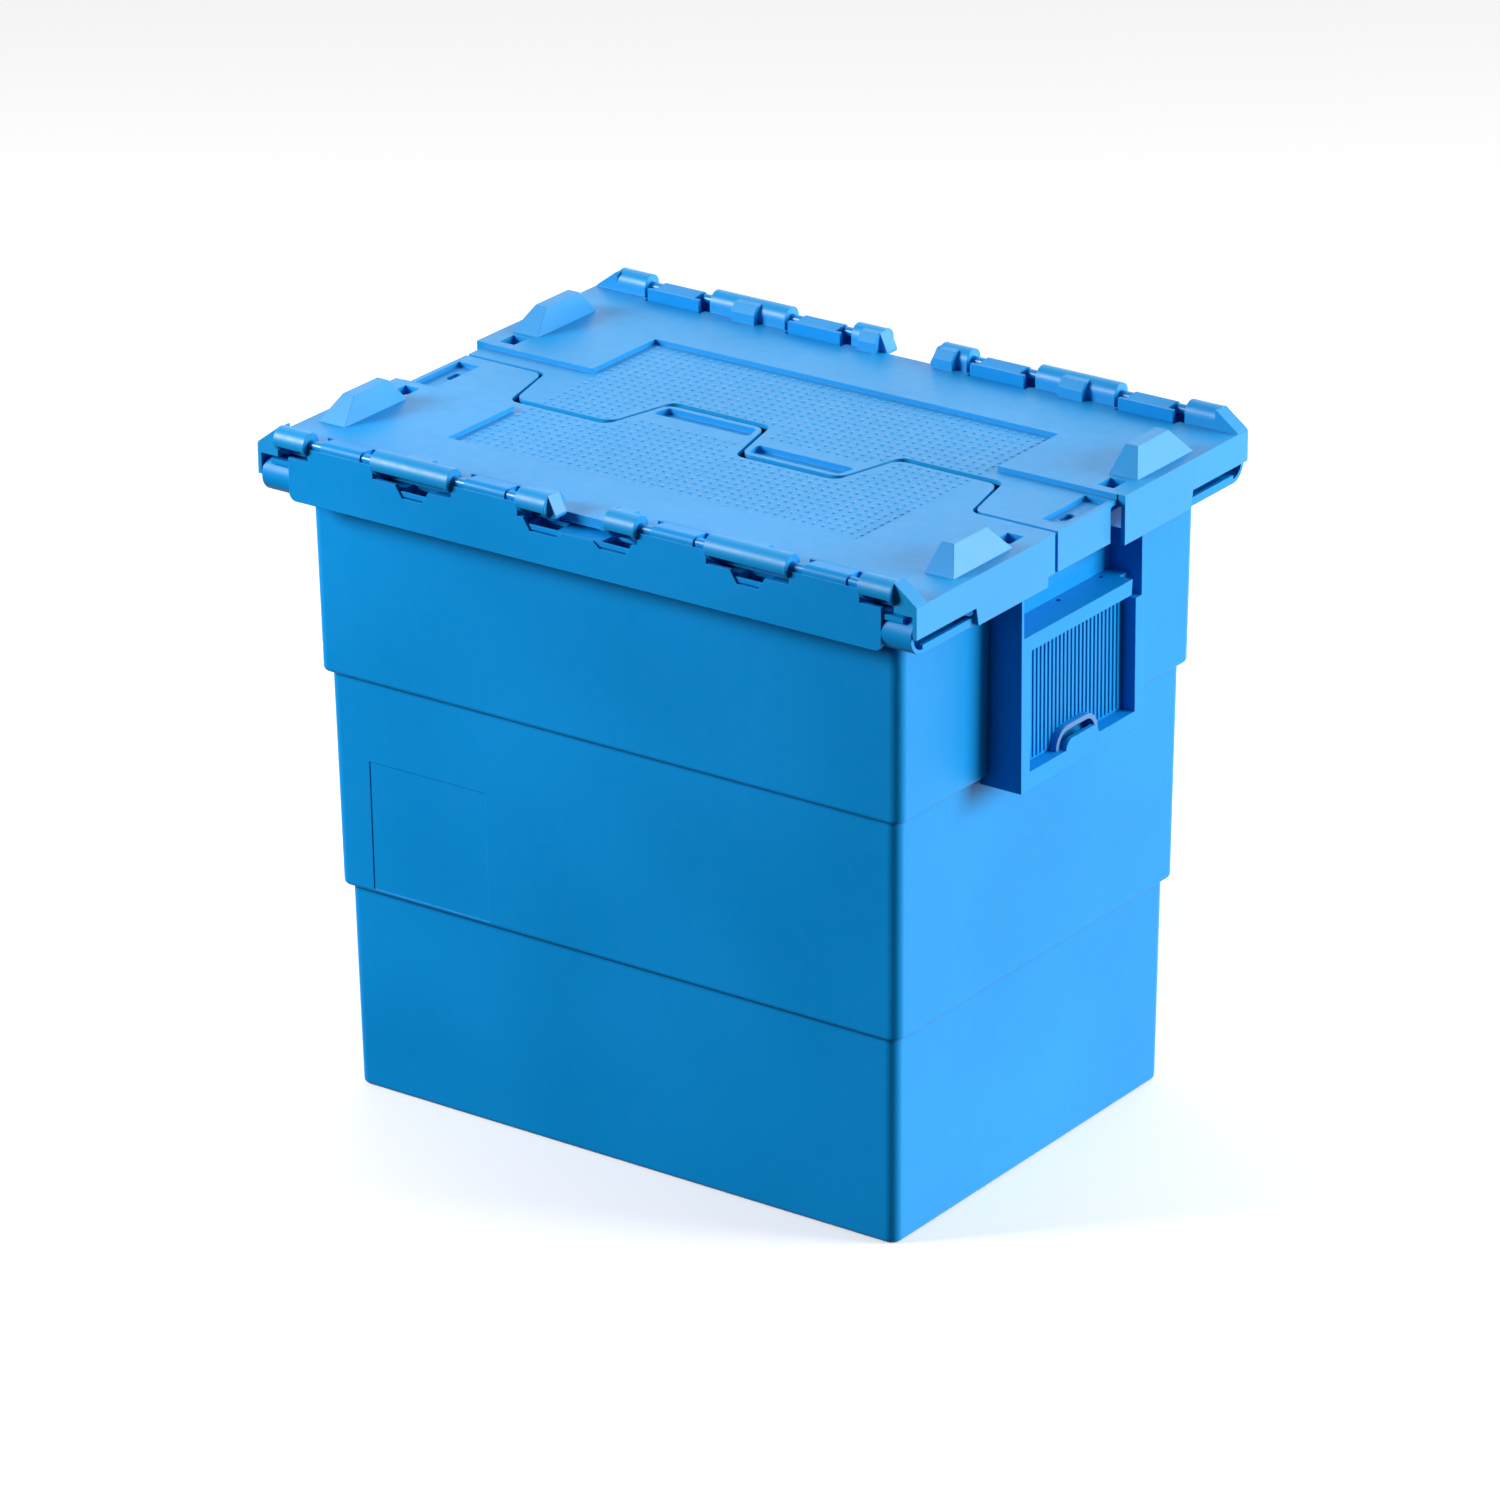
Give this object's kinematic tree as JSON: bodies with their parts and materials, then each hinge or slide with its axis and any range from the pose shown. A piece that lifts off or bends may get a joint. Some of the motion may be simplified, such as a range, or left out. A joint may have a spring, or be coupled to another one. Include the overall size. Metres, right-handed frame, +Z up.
{
  "type": "attached lid storage crate",
  "caption": "Stepped nesting plastic storage crate closed by two interlocking half lids that swing fully open on hinge rods, with framed hand grips on its short ends.",
  "frame": {"origin": "centre of the base, on the surface that the crate stands on", "axes": "+X along the hinge rods (the long side), +Y across to the rear hinge, +Z up"},
  "size_m": [0.4, 0.3, 0.3685],
  "materials": {
    "crate_blue": "fine moulded grain",
    "lid_blue": "fine moulded grain",
    "rod_blue": "smooth extruded",
    "plate_blue": "ribbed moulding"
  },
  "bodies": {
    "crate": {"tub": "crate_blue", "front_right_rod": "rod_blue", "front_left_rod": "rod_blue", "rear_right_rod": "rod_blue", "rear_left_rod": "rod_blue", "right_label_plate": "plate_blue", "left_label_plate": "plate_blue"},
    "front_flap": {"front_lid": "lid_blue"},
    "rear_flap": {"rear_lid": "lid_blue"}
  },
  "joints": [
    {"name": "front_lid_hinge", "type": "hinge", "parent": "crate", "child": "front_flap", "pos_m": [0, -0.1437, 0.3597], "axis": [1, 0, 0], "range_deg": [0, 270]},
    {"name": "rear_lid_hinge", "type": "hinge", "parent": "crate", "child": "rear_flap", "pos_m": [0, 0.1437, 0.3597], "axis": [-1, 0, 0], "range_deg": [0, 270]}
  ]
}
